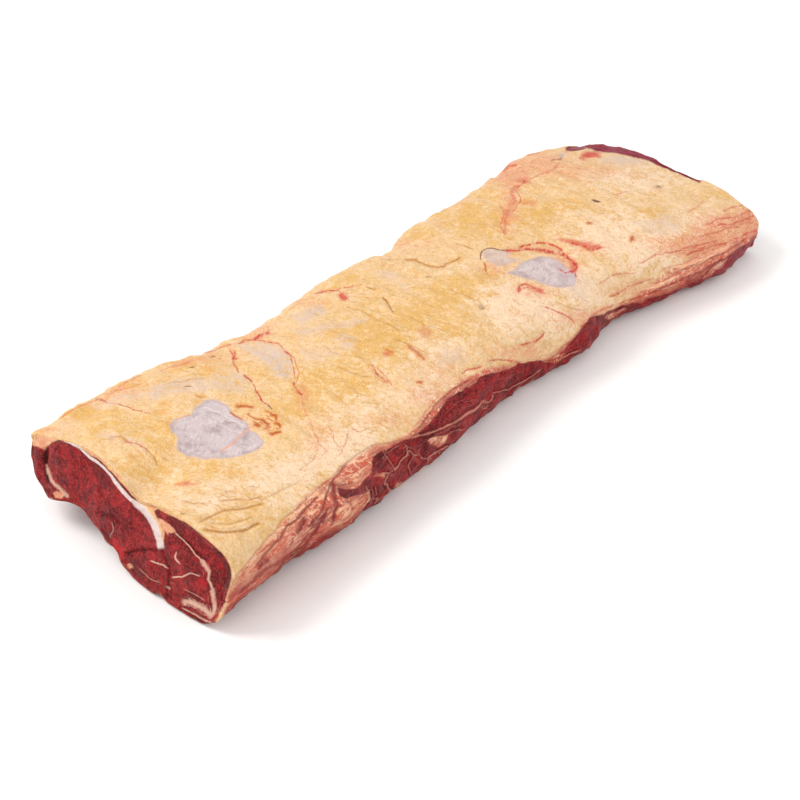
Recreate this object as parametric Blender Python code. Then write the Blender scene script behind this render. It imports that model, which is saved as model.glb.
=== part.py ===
"""A whole raw beef striploin: the lean muscle and the fat cap that lies over it.

Metres, +Z up. The loin lies along X on its flat underside at z = 0. The near cut face looks to -X, the far
end to +X, the thin-fat chine side to +Y and the side with the open muscle, the flank side, to -Y. Each
section across the loin is a rounded box whose width, height and rim heights follow short tables of
(place, value) pairs, read with a smooth curve.
"""
import bmesh
import bpy
import numpy as np

# Sections along the loin and points across each arc
STATIONS = 46
ARC_POINTS = 30
FACE_ROWS = 5

# Outline seen from above: share of the length against the place of each side
CHINE_EDGE = ((0, .124), (.07, .130), (.14, .132), (.20, .133), (.27, .121), (.35, .114), (.43, .117),
              (.52, .120), (.58, .113), (.65, .124), (.74, .127), (.84, .131), (.92, .140), (1, .123))
FLANK_EDGE = ((0, -.094), (.10, -.089), (.20, -.082), (.28, -.074), (.36, -.071), (.45, -.061),
              (.55, -.053), (.65, -.057), (.75, -.048), (.85, -.060), (.93, -.067), (1, -.061))
# How far the foot of the flank side is drawn in under its shoulder
FOOT_TUCK = ((0, .015), (.12, .019), (.25, .007), (.4, .004), (.6, .002), (1, .003))
# Height of the fat's upper side
CROWN = ((0, .079), (.1, .074), (.25, .068), (.4, .069), (.7, .066), (.85, .064), (1, .050))
# End faces: place across the loin against place along it
NEAR_FACE = ((-.09, -.293), (-.06, -.298), (-.02, -.301), (.02, -.301), (.06, -.299), (.10, -.304), (.14, -.295))
FAR_FACE = ((-.09, .306), (-.06, .324), (-.04, .321), (-.01, .319), (.03, .315), (.07, .314), (.10, .306), (.14, .288))
FACE_LEAN = .17
# The underside at the near end arches where the chine bone was
NEAR_ARCH = ((-.09, .002), (-.06, 0), (0, 0), (.025, .012), (.05, .020), (.075, .027), (.10, .017), (.13, .019))
ARCH_REACH = .32

# Edge of the fat cap on either side, as a height
FLANK_RIM = ((0, .030), (.08, .020), (.16, .020), (.22, .034), (.28, .049), (.34, .052), (.41, .054),
             (.46, .052), (.51, .045), (.60, .030), (.65, .033), (.70, .028), (.76, .024), (.82, .020), (.90, .013),
             (1, .018))
CHINE_RIM = ((0, .052), (.06, .046), (.2, .034), (.5, .030), (.8, .032), (1, .030))
# Thickness of the fat cap in the middle of each section, and at its two rims
FAT_DEPTH = ((0, .0032), (.05, .0062), (.12, .0080), (.3, .0095), (.7, .0095), (.93, .0085), (1, .0050))
FLANK_RIM_DEPTH = .0050
CHINE_RIM_DEPTH = .0035
GAP = .0005

# Rounding of the section: a larger power is squarer
CHINE_POWER = 2.7
FLANK_POWER = 3.1
CHINE_FOOT_POWER = 3.4
FLANK_FOOT_POWER = 5.5
WAIST = .48
SINK = .05

# Soft swellings of the open muscle on the flank side: place, height, length, depth, swell
MUSCLES = ((-.245, .030, .030, .026, .0020), (-.170, .022, .026, .020, .0022), (-.118, .030, .030, .022, .0030),
           (-.058, .032, .022, .020, .0020), (-.010, .028, .034, .022, .0035), (.060, .022, .026, .018, .0030),
           (.118, .016, .022, .016, .0035), (.205, .014, .030, .014, .0025), (.272, .018, .026, .016, .0030))
# Hollows and rises of the fat's upper side: place, place across, length, width, rise
RELIEF = ((-.262, .108, .034, .010, -.0060), (-.285, .004, .034, .018, -.0120), (-.225, .050, .050, .040, .0015),
          (-.130, .085, .030, .026, -.0020), (-.060, .010, .060, .040, .0015), (.030, .060, .050, .030, -.0015),
          (.128, .004, .034, .022, -.0045), (.122, .040, .020, .014, .0015), (.215, .040, .050, .050, .0012),
          (.285, .095, .024, .018, -.0035), (.262, -.030, .036, .016, .0010))
# Swellings of the near cut face: place across, height, width, depth, swell
CUT_RELIEF = ((.045, .044, .036, .018, .0035), (-.050, .046, .030, .020, .0028), (-.012, .022, .020, .014, .0015),
              (.002, .052, .008, .016, -.0025), (.106, .048, .006, .020, -.0050), (-.074, .014, .016, .008, .0018))


def curve(table, place):
    """Value of a table of (place, value) pairs at a place, along a smooth curve through the pairs."""
    places = np.array([pair[0] for pair in table], float)
    values = np.array([pair[1] for pair in table], float)
    slopes = np.gradient(values, places)
    place = np.clip(place, places[0], places[-1])
    index = np.clip(np.searchsorted(places, place, side="right") - 1, 0, len(places) - 2)
    step = places[index + 1] - places[index]
    u = (place - places[index]) / step
    start = (2 * u ** 3 - 3 * u ** 2 + 1) * values[index] + (u ** 3 - 2 * u ** 2 + u) * step * slopes[index]
    end = (3 * u ** 2 - 2 * u ** 3) * values[index + 1] + (u ** 3 - u ** 2) * step * slopes[index + 1]
    return start + end


def swell(first, second, places):
    """Sum of soft round swellings, each (first, second, first reach, second reach, height)."""
    total = np.zeros_like(first + second)
    for first_place, second_place, first_reach, second_reach, height in places:
        total = total + height * np.exp(-((first - first_place) / first_reach) ** 2
                                        - ((second - second_place) / second_reach) ** 2)
    return total


def near_face(y, z):
    return curve(NEAR_FACE, y) + FACE_LEAN * z - swell(y, z, CUT_RELIEF)


def place_on_loin(share, y, z):
    """Point of the loin for a share of the length and a place in the section."""
    near = curve(NEAR_FACE, y) + FACE_LEAN * z
    far = curve(FAR_FACE, y)
    return near + share * (far - near)


def section(share, angle):
    """Outer outline (y, z) of one section. Angle 0 is the chine side, a quarter turn is the crown."""
    chine = curve(CHINE_EDGE, share)
    flank = curve(FLANK_EDGE, share)
    middle = (chine + flank) / 2
    half = (chine - flank) / 2
    across = np.cos(angle)
    up = np.sin(angle)
    side_power = np.where(across > 0, CHINE_POWER, FLANK_POWER)
    foot_power = np.where(across > 0, CHINE_FOOT_POWER, FLANK_FOOT_POWER)
    rise_power = np.where(up > 0, side_power, foot_power)
    side_power = np.where((up < 0) & (across < 0), FLANK_FOOT_POWER, side_power)
    y = middle + half * np.sign(across) * np.abs(across) ** (2 / side_power)
    rise = np.where(up > 0, 1 - WAIST, WAIST + SINK)
    level = np.maximum(WAIST + rise * np.sign(up) * np.abs(up) ** (2 / rise_power), 0)
    outward = np.clip((middle - y) / half, 0, 1)
    y = y + curve(FOOT_TUCK, share) * (1 - level) ** 1.2 * outward ** 2
    x = place_on_loin(share, y, .04)
    nearness = max(1 - share / ARCH_REACH, 0)
    arch = nearness ** 2 * (3 - 2 * nearness) * np.maximum(curve(NEAR_ARCH, y), 0)
    crown = curve(CROWN, share) + swell(x, y, RELIEF)
    z = arch + level * (crown - arch)
    y = y - outward ** 4 * swell(x, z, MUSCLES)
    return y, z


def rim_angle(share, height, chine_side):
    """Angle at which the outline passes a height, on the chine or the flank side, found by halving."""
    low, high = (-np.pi / 2, np.pi / 2) if chine_side else (3 * np.pi / 2, np.pi / 2)
    for _ in range(40):
        half_way = (low + high) / 2
        if section(share, np.array([half_way]))[1][0] < height:
            low = half_way
        else:
            high = half_way
    return (low + high) / 2


def shrink(arc, rim_line, depth, rim_depth):
    """Arc drawn inwards: by one depth at its crown and by another at its two upright ends."""
    y, z = arc
    middle = (y[0] + y[-1]) / 2
    half = (y[0] - y[-1]) / 2
    height = np.max(z - rim_line)
    return middle + (y - middle) * (1 - rim_depth / half), rim_line + (z - rim_line) * (1 - depth / height)


def arcs(share):
    """The four arcs of one section: fat outside, fat inside, lean under the fat, lean open to the air."""
    chine_height = curve(CHINE_RIM, share)
    flank_height = curve(FLANK_RIM, share)
    steps = np.linspace(0, 1, ARC_POINTS)
    fat_steps = steps + .05 * np.sin(2 * np.pi * steps)
    open_steps = steps + .04 * np.sin(2 * np.pi * steps)

    first = rim_angle(share, chine_height, True)
    last = rim_angle(share, flank_height, False)
    outer = section(share, first + fat_steps * (last - first))
    rim_line = chine_height + steps * (flank_height - chine_height)
    depth = curve(FAT_DEPTH, share)
    rim_depth = CHINE_RIM_DEPTH + steps * (FLANK_RIM_DEPTH - CHINE_RIM_DEPTH)
    inner = shrink(outer, rim_line, depth, rim_depth)
    bed = shrink(outer, rim_line, depth + GAP, rim_depth + GAP)
    # The bed starts and ends a gap below the fat's rims, on a ledge of the lean
    for end in (0, -1):
        bed[1][end] -= GAP

    first = 2 * np.pi + rim_angle(share, chine_height - GAP, True)
    last = rim_angle(share, flank_height - GAP, False)
    open_side = section(share, first + open_steps * (last - first))
    return outer, inner, bed, open_side


def rows_of(kind):
    """Grid of points (station, arc point, xyz) for one kind of arc."""
    rows = []
    for share in np.linspace(0, 1, STATIONS):
        y, z = arcs(share)[kind]
        near = near_face(y, z)
        far = curve(FAR_FACE, y)
        rows.append(np.stack([near + share * (far - near), y, z], axis=-1))
    return np.array(rows)


def add_pair(mesh, first, second, third, fourth):
    """Four-sided patch as two triangles that meet on the line from the first corner to the third."""
    mesh.faces.new((first, second, third))
    mesh.faces.new((first, third, fourth))


def add_node(name, upper, lower, end_rows, base, colour, roughness):
    """One closed solid between two grids of points, with the object's base point moved to the origin."""
    mesh = bmesh.new()
    top = [[mesh.verts.new(point) for point in row] for row in upper]
    bottom = [[mesh.verts.new(point) for point in row] for row in lower]
    for station in range(STATIONS - 1):
        here_top, next_top = top[station], top[station + 1]
        here_low, next_low = bottom[station], bottom[station + 1]
        for point in range(ARC_POINTS - 1):
            add_pair(mesh, here_top[point], here_top[point + 1], next_top[point + 1], next_top[point])
            add_pair(mesh, here_low[point], here_low[point + 1], next_low[point + 1], next_low[point])
        for side in (0, -1):
            add_pair(mesh, here_top[side], next_top[side], next_low[side], here_low[side])
    for station in (0, -1):
        fill_end(mesh, top[station], bottom[station], end_rows, station)
    bmesh.ops.recalc_face_normals(mesh, faces=mesh.faces)
    bmesh.ops.translate(mesh, verts=mesh.verts, vec=-base)
    data = bpy.data.meshes.new(name)
    mesh.to_mesh(data)
    mesh.free()
    data.shade_smooth()
    node = bpy.data.objects.new(name, data)
    bpy.context.scene.collection.objects.link(node)
    material = bpy.data.materials.new(name)
    material.use_nodes = True
    shader = material.node_tree.nodes["Principled BSDF"]
    shader.inputs["Base Color"].default_value = (*colour, 1)
    shader.inputs["Roughness"].default_value = roughness
    data.materials.append(material)


def fill_end(mesh, top, bottom, end_rows, station):
    """End face between two arcs, in rows, with the swellings of the near cut face."""
    rows = [top]
    for row in range(1, end_rows):
        part = row / end_rows
        between = [None]
        for high, low in list(zip(top, bottom))[1:-1]:
            y = high.co.y + part * (low.co.y - high.co.y)
            z = high.co.z + part * (low.co.z - high.co.z)
            x = near_face(np.array(y), np.array(z)) if station == 0 else curve(FAR_FACE, np.array(y))
            between.append(mesh.verts.new((float(x), y, z)))
        rows.append(between + [None])
    rows.append(bottom)
    first, last = (1, ARC_POINTS - 2) if end_rows > 1 else (0, ARC_POINTS - 1)
    for upper_row, lower_row in zip(rows, rows[1:]):
        for point in range(first, last):
            add_pair(mesh, upper_row[point], lower_row[point], lower_row[point + 1], upper_row[point + 1])
    if end_rows > 1:
        for side, beside in ((0, 1), (-1, -2)):
            corner = top[side]
            ring = [row[beside] for row in rows] + [bottom[side]]
            for upper, lower in zip(ring, ring[1:]):
                mesh.faces.new((corner, upper, lower))


def main():
    for node in list(bpy.data.objects):
        bpy.data.objects.remove(node)
    outer, inner, bed, open_side = (rows_of(kind) for kind in range(4))
    every_point = np.concatenate([outer.reshape(-1, 3), open_side.reshape(-1, 3)])
    middle = (every_point.min(axis=0) + every_point.max(axis=0)) / 2
    base = np.array([middle[0], middle[1], every_point[:, 2].min()])
    add_node("fat_cap", outer, inner, 1, base, (.80, .62, .38), .45)
    add_node("lean", bed, open_side, FACE_ROWS, base, (.26, .035, .03), .4)


main()
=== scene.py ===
"""The looks of a whole raw beef striploin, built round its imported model.

Two closed pieces stand for the two CAD solids: the fat cap and the lean. Their form follows the same
sections as the solids, with relief added. Marks on the meat, such as veins, seams and membrane patches, sit
where the photograph shows them: each is a line or an outline in its 800 by 800 pixel frame, and every
vertex that faces the camera knows its own place in that frame. Sides that the photograph doesn't show get
marks made from noise. Metres, +Z up.
"""

import bmesh
import bpy
import numpy as np
from mathutils import Matrix, Vector


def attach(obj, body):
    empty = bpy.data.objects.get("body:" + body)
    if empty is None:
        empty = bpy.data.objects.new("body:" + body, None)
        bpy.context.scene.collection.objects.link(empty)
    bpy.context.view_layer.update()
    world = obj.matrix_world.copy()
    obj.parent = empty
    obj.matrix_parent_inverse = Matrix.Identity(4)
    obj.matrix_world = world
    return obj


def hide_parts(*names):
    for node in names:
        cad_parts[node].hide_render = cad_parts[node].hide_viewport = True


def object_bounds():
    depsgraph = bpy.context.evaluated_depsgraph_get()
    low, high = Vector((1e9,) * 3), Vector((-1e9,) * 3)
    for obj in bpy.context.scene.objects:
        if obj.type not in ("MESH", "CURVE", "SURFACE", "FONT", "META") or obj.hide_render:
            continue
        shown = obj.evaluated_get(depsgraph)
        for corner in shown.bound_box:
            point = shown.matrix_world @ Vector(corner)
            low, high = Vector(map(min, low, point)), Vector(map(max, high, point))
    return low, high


# Camera, in the drawing frame of the loin
FOCAL_PX = 2500.0
PICTURE_PX = 800
SENSOR_MM = 36.0
CAMERA_ELEVATION = np.radians(39.0)
CAMERA_AZIMUTH = np.radians(-45.0)
CAMERA_DISTANCE = 1.89
CAMERA_AIM = np.array([-.0475, -.0115, .028])
CAMERA_REACH = 20

# Light and floor. Each light: name, place, width, power, colour
LIGHTS = (("key", (-1.0, 1.1, 1.7), 1.0, 28, (1, .98, .96)),
          ("fill", (1.3, -1.5, 1.3), 1.4, 14, (1, .99, .98)),
          ("low fill", (-1.9, -.1, .5), .9, 6, (1, .98, .96)))
WORLD_LIGHT = .85
FLOOR_SIZE = 12
FLOOR_DROP = .0003

# Density of the two pieces: places along the loin, across the fat or the open lean, and on the cut faces
ALONG = 350
ACROSS = 180
FACE_ROWS = 54
FAR_ROWS = 24
FAT_ROWS = 5
HIDDEN_ROWS = 44
ROUND_ROWS = 5
NOISE_CELLS = 64
NOISE_START = 1000.5

# Outline seen from above: share of the length against the place of each side
CHINE_EDGE = ((0, .124), (.07, .130), (.14, .132), (.20, .133), (.27, .121), (.35, .114), (.43, .117),
              (.52, .120), (.58, .113), (.65, .124), (.74, .127), (.84, .131), (.92, .140), (1, .123))
FLANK_EDGE = ((0, -.094), (.10, -.089), (.20, -.082), (.28, -.074), (.36, -.071), (.45, -.061),
              (.55, -.053), (.65, -.057), (.75, -.048), (.85, -.060), (.93, -.067), (1, -.061))
FOOT_TUCK = ((0, .015), (.12, .019), (.25, .007), (.4, .004), (.6, .002), (1, .003))
TUCK_POWER = 1.2
CROWN = ((0, .079), (.1, .074), (.25, .068), (.4, .069), (.7, .066), (.85, .064), (1, .050))
# The two cut faces: place across the loin against place along it
NEAR_FACE = ((-.09, -.293), (-.06, -.298), (-.02, -.301), (.02, -.301), (.06, -.299), (.10, -.304),
             (.14, -.295))
FAR_FACE = ((-.09, .306), (-.06, .324), (-.04, .321), (-.01, .319), (.03, .315), (.07, .314), (.10, .306),
            (.14, .288))
FACE_LEAN = .17
NEAR_ARCH = ((-.09, .002), (-.06, 0), (0, 0), (.025, .012), (.05, .020), (.075, .027), (.10, .017),
             (.13, .019))
ARCH_REACH = .32
# Rims of the fat: share of the length against height
FLANK_RIM = ((0, .030), (.08, .020), (.16, .020), (.22, .034), (.28, .049), (.34, .052), (.41, .054),
             (.46, .052), (.51, .045), (.60, .030), (.65, .033), (.70, .028), (.76, .024), (.82, .020),
             (.90, .013), (1, .018))
CHINE_RIM = ((0, .052), (.06, .046), (.2, .034), (.5, .030), (.8, .032), (1, .030))
FAT_DEPTH = ((0, .0032), (.05, .0062), (.12, .0080), (.3, .0095), (.7, .0095), (.93, .0085), (1, .0050))
FLANK_RIM_DEPTH = .0050
CHINE_RIM_DEPTH = .0035
BED_GAP = .0001
# Section: how square each quarter is, its widest height as a share, and how far its flat foot is cut off
CHINE_POWER = 2.7
FLANK_POWER = 3.1
CHINE_FOOT_POWER = 3.4
FLANK_FOOT_POWER = 5.5
WAIST = .48
SINK = .05
MIDDLE_HEIGHT = .04
SIDE_POWER = 4
LENGTH = .62
LOIN_MIDDLE = (0, .03, .035)
# Soft swellings of the solids: first place, second place, first reach, second reach, height
MUSCLES = (
    (-.245, .030, .030, .026, .0020), (-.170, .022, .026, .020, .0022), (-.118, .030, .030, .022, .0030),
    (-.058, .032, .022, .020, .0020), (-.010, .028, .034, .022, .0035), (.060, .022, .026, .018, .0030),
    (.118, .016, .022, .016, .0035), (.205, .014, .030, .014, .0025), (.272, .018, .026, .016, .0030),
)
RELIEF = (
    (-.262, .108, .034, .010, -.0060), (-.285, .004, .034, .018, -.0120), (-.225, .050, .050, .040, .0015),
    (-.130, .085, .030, .026, -.0020), (-.060, .010, .060, .040, .0015), (.030, .060, .050, .030, -.0015),
    (.128, .004, .034, .022, -.0045), (.122, .040, .020, .014, .0015), (.215, .040, .050, .050, .0012),
    (.285, .095, .024, .018, -.0035), (.262, -.030, .036, .016, .0010),
)
CUT_RELIEF = (
    (.045, .044, .036, .018, .0035), (-.050, .046, .030, .020, .0028), (-.012, .022, .020, .014, .0015),
    (.002, .052, .008, .016, -.0025), (.106, .048, .006, .020, -.0050), (-.074, .014, .016, .008, .0018),
)

# Fine relief, as sums of noise: (stretch, size of the lumps, height, seed)
PLAIN = (1, 1, 1)
FAT_LUMPS = (((.55, 1, 1), .034, .0010, 1), ((1.6, .5, 1), .012, .0009, 2), ((1.6, .5, 1), .0055, .0005, 3))
EDGE_LUMPS = ((PLAIN, .020, .0016, 4), (PLAIN, .009, .0009, 5))
MEMBRANE_LUMPS = ((PLAIN, .011, .0007, 6),)
LEAN_LUMPS = ((PLAIN, .010, .0012, 7), (PLAIN, .004, .0005, 8))
FACE_LUMPS = ((PLAIN, .009, .0008, 21), (PLAIN, .0036, .0006, 22))
FOOT_LUMPS = (((.3, 1, .3), .016, 1, 41), ((.3, 1, .3), .007, .6, 42))
HIDDEN_RIM_LUMPS = ((PLAIN, .012, 3, 11),)
MEMBRANE_SINK = .0006
LEAN_SINK = .0014
# Grooves along marks: (mark, depth, reach in half widths). A ridge has a depth below 0
SIDE_GROOVES = (("crease", .0018, 3), ("strip", .0016, 2.6), ("fold", .0009, 2.4), ("vein", .0006, 3),
                ("fleck", .0008, 3), ("seam", .0018, 3.4), ("tear", .0009, 3))
FACE_GROOVES = (("silver", -.0009, 1.6), ("cleft", .0026, 3), ("cut", .0006, 2.5))
# The loose edge of the fat on the chine side lies between these places across the loin, above these heights
EDGE_START = (.050, .105)
EDGE_END = (.150, .118)
EDGE_HEIGHTS = (.030, .055)
# Relief may sink this far, but less where the fat thins out towards the near face
DEEPEST = -.0029
NEAR_SHARE = .35
NEAR_REACH = (-.305, -.270)
CALM_COLUMNS = 4
EDGE_ROUND = .0014
# Ragged foot of the near face
FRAY = .0065
FRAY_RAISE = .15
FRAY_REACH = (.013, .001)
# Rims of the bare lean on the sides that the photograph doesn't show, in pixels for each metre
HIDDEN_SCALE = 600
FAR_RIM = .0030
FAR_RIM_SCALE = 2000
FAR_RIM_START = (-.008, .004)

# How far marks reach and sway, in picture pixels, and how low the foot's painted shade and redness go, in
# metres
LINE_REACH = 7.0
LINE_END = 2.5
FAR_AWAY = 99.0
DEEP_INSIDE = 9.0
SWAYS = ((.011, 1, (31, 32)), (.0045, .5, (33, 34)))
SIDE_SWAY = 1.6
FACE_SWAY = .9
FOOT_SHADE_HEIGHTS = (.028, .003)
SEEN_RANGE = (-.04, .12)
FLANK_RANGE = (-2.5, 3.5)
LEAN_RANGE = (-1.5, 2.5)
MEMBRANE_RANGE = (-1, 3)

# Marks in picture pixels. A line is its half width, its strength and its places x, y in turn. An outline is
# its strength and its places. First those of the fat: veins, blood, stains, dark flecks and bare membrane
VEINS = (
    (.9, 1, 240, 343, 247, 340, 256, 339, 263, 335, 270, 333),
    (.5, .8, 256, 339, 270, 342, 281, 346, 290, 355, 294, 367, 294, 378),
    (1.8, .9, 234, 352, 233, 357, 235, 361), (.7, 1, 245, 376, 252, 382, 256, 391, 260, 398, 268, 406),
    (1, 1, 294, 383, 297, 390, 301, 395), (.4, .5, 300, 396, 305, 410, 312, 428, 320, 444, 328, 452),
    (.5, .8, 97, 400, 112, 403, 134, 410, 150, 413), (.4, .6, 104, 396, 122, 390, 140, 384),
    (.9, .7, 126, 441, 136, 443, 146, 449), (.7, 1, 314, 293, 320, 291, 327, 290, 338, 292),
    (.9, 1, 372, 365, 374, 371, 380, 376, 387, 381), (.8, .8, 464, 372, 470, 368, 481, 366),
    (1, .9, 521, 345, 530, 343, 538, 340, 543, 335),
    (1.2, 1, 506, 250, 522, 250, 536, 251, 550, 251, 562, 255, 572, 261, 576, 266, 572, 272),
    (1.1, .9, 518, 290, 524, 283, 532, 287, 541, 290),
    (1.6, .45, 530, 179, 518, 184, 512, 193, 514, 201, 506, 215, 504, 233),
    (1, .8, 503, 170, 508, 166, 515, 165), (.6, .6, 522, 158, 530, 154, 538, 153),
    (.8, .5, 516, 180, 530, 179, 546, 173, 560, 164), (.9, .8, 688, 255, 710, 247, 736, 239, 760, 229),
    (.8, .8, 718, 226, 736, 223, 758, 214), (.7, .7, 700, 236, 724, 230, 752, 222),
    (.9, .7, 706, 224, 722, 219, 744, 214, 757, 207), (.7, .7, 640, 262, 662, 254, 690, 248, 716, 240),
    (.7, .6, 724, 210, 738, 206, 750, 204), (.6, .6, 600, 284, 614, 276, 634, 272),
    (.9, .8, 582, 327, 592, 316, 606, 309, 624, 302, 640, 297),
    (.9, .7, 612, 296, 624, 289, 634, 284, 652, 277), (.5, .5, 664, 268, 690, 262, 720, 251, 744, 242),
    (.9, .8, 490, 361, 502, 359, 512, 361, 522, 363), (.4, .6, 330, 428, 334, 440, 342, 450, 338, 457),
    (.4, .5, 348, 434, 345, 444, 340, 452), (.6, .6, 354, 429, 360, 432, 367, 430),
    (.7, .8, 544, 307, 556, 311, 566, 316, 574, 323), (.6, .7, 616, 194, 622, 193, 629, 192),
    (.5, .5, 688, 211, 695, 208, 702, 201), (.5, .6, 414, 426, 428, 410, 438, 396),
    (.8, .6, 206, 352, 214, 350, 224, 346, 236, 344), (.7, .6, 120, 386, 128, 381, 140, 377),
    (.6, .7, 60, 418, 72, 411, 86, 405, 98, 401), (.7, .5, 160, 372, 176, 366, 192, 361),
)
BLOOD = (
    (1, 338, 296, 343, 293, 349, 295, 348, 300, 342, 301),
    (.75, 556, 238, 570, 239, 584, 242, 600, 246, 598, 249, 580, 247, 562, 242),
    (.4, 520, 202, 530, 201, 536, 203, 534, 207, 524, 206),
    (.4, 516, 177, 524, 174, 530, 177, 526, 183, 518, 182),
    (1, 580, 155, 590, 151, 601, 153, 598, 158, 590, 159, 582, 158),
    (.55, 176, 484, 188, 481, 199, 484, 190, 486, 180, 486), (.6, 382, 352, 389, 350, 392, 355, 386, 358),
    (.35, 418, 328, 428, 326, 431, 336, 422, 340), (.6, 568, 263, 576, 264, 576, 272, 570, 271),
)
STAINS = (
    (1.3, .9, 237, 406, 244, 405, 253, 407), (1, .8, 249, 413, 254, 417, 262, 420),
    (2.1, 1, 254, 424, 260, 426), (1.4, 1, 263, 420, 269, 424), (1.5, 1, 270, 416, 276, 418),
    (1.8, 1, 276, 422, 281, 426), (1.6, 1, 271, 434, 281, 432), (.8, .9, 232, 411, 236, 416, 240, 419),
    (2.2, 1, 631, 240, 633, 240), (1.2, .8, 588, 223, 591, 223), (1.4, .9, 418, 382, 422, 382),
    (1.8, .7, 408, 347, 416, 352, 424, 359), (1.1, .8, 484, 264, 486, 271), (1, .7, 265, 411, 269, 414),
    (1.1, .5, 612, 296, 618, 293), (1, .5, 196, 395, 202, 397), (1.3, .7, 266, 430, 270, 427),
    (1.6, .5, 386, 349, 392, 352),
)
FLECKS = (
    (1.1, 1, 592, 200, 599, 202), (.7, .9, 186, 386, 190, 386), (.7, .8, 190, 367, 192, 367),
    (.8, .8, 211, 357, 213, 357), (.9, .7, 657, 186, 660, 187), (1.8, .5, 481, 306, 484, 309),
    (.6, .9, 481, 258, 481, 254, 488, 249, 504, 250), (.5, .8, 268, 406, 270, 409),
    (.6, .7, 182, 514, 184, 514), (.6, .6, 335, 486, 352, 483), (1, .7, 554, 161, 560, 159),
    (.5, .6, 368, 288, 375, 289), (.6, .6, 427, 277, 429, 277), (.5, .5, 482, 440, 484, 440),
)
MEMBRANES = (
    (1, 170, 424, 176, 418, 182, 417, 191, 413, 194, 407, 203, 401, 213, 400, 224, 404, 231, 409, 238, 417,
     246, 423, 250, 431, 259, 436, 264, 443, 257, 450, 246, 455, 232, 459, 218, 458, 204, 459, 190, 456, 180,
     452, 175, 444, 177, 436, 171, 431),
    (.95, 506, 272, 514, 268, 522, 263, 536, 257, 550, 256, 560, 262, 568, 268, 577, 276, 576, 285, 564, 289,
     546, 285, 526, 279),
    (.65, 481, 254, 488, 250, 506, 250, 512, 254, 504, 256, 520, 260, 510, 266, 497, 267, 487, 260),
    (.9, 556, 156, 562, 152, 567, 153, 562, 159),
)
# Patches where the fat is so thin that the grey membrane only dims it
HAZES = (
    (.8, 148, 392, 160, 384, 176, 381, 196, 378, 214, 380, 224, 388, 206, 391, 186, 390, 168, 394, 156, 400,
     149, 398), (.7, 210, 374, 226, 371, 242, 373, 248, 383, 244, 392, 232, 394, 222, 386),
    (1, 240, 346, 256, 342, 274, 344, 288, 350, 294, 360, 293, 372, 286, 378, 274, 375, 264, 364, 250, 356),
    (1, 290, 314, 308, 309, 322, 304, 324, 312, 313, 320, 303, 324, 296, 320),
    (.8, 290, 330, 320, 325, 346, 321, 364, 319, 350, 326, 322, 332, 300, 336),
    (.9, 336, 339, 346, 334, 356, 340, 351, 349, 340, 347),
    (.6, 96, 434, 124, 433, 140, 440, 146, 449, 126, 443),
    (.9, 596, 160, 604, 156, 622, 155, 638, 158, 650, 164, 624, 165, 604, 164),
    (.5, 376, 274, 392, 269, 400, 276, 391, 281), (.55, 630, 222, 660, 214, 682, 222, 674, 234, 648, 234),
    (.6, 398, 283, 404, 282, 408, 288, 402, 288), (.5, 436, 354, 460, 346, 466, 362, 444, 368),
    (.5, 86, 404, 110, 398, 140, 388, 150, 392, 124, 404, 96, 412),
    (.45, 560, 270, 580, 268, 592, 284, 584, 300, 566, 296),
    (.4, 300, 350, 330, 344, 340, 352, 322, 364, 304, 362),
)
# Strands of the torn edge above the far hollow
TEARS = (
    (1.2, 1, 520, 246, 534, 244, 548, 243, 558, 249, 566, 255, 575, 262),
    (.8, .9, 558, 268, 564, 272, 572, 271, 576, 277), (.8, .8, 572, 243, 582, 246, 592, 249, 602, 248),
    (.7, .8, 518, 291, 526, 287, 534, 290, 544, 293), (.6, .8, 230, 350, 232, 356, 233, 364, 238, 372),
    (.5, .7, 288, 352, 296, 360, 298, 372, 296, 382), (.6, .6, 500, 206, 504, 214, 500, 224, 504, 234),
    (.6, .7, 524, 181, 516, 190, 520, 200, 512, 212), (.5, .8, 376, 368, 384, 374, 392, 384),
    (.5, .7, 336, 290, 350, 287, 362, 284),
)
# Pale lines in the membrane, and the orange thread across it
GLEAMS = (
    (.5, .8, 203, 406, 216, 410, 230, 418, 242, 426), (.5, .6, 200, 411, 212, 415, 224, 422),
    (.4, .6, 206, 418, 218, 423, 232, 431, 240, 434), (.5, .5, 182, 424, 192, 421, 204, 415),
    (.5, .5, 180, 446, 190, 450, 204, 454), (.4, .5, 214, 404, 224, 408, 232, 414),
    (1.4, .35, 196, 438, 206, 444, 216, 447), (.4, .5, 177, 430, 186, 434, 194, 434),
    (1.4, .5, 546, 262, 552, 268, 556, 276), (.8, .6, 530, 262, 540, 266, 546, 272),
    (.8, .5, 514, 270, 526, 268, 536, 272), (.7, .4, 240, 446, 250, 448, 258, 445),
)
THREADS = (
    (.8, .9, 222, 452, 228, 446, 238, 438, 247, 430, 256, 424), (.6, .6, 238, 416, 246, 421, 252, 428),
    (.9, .7, 176, 423, 180, 418, 190, 415),
)
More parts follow.
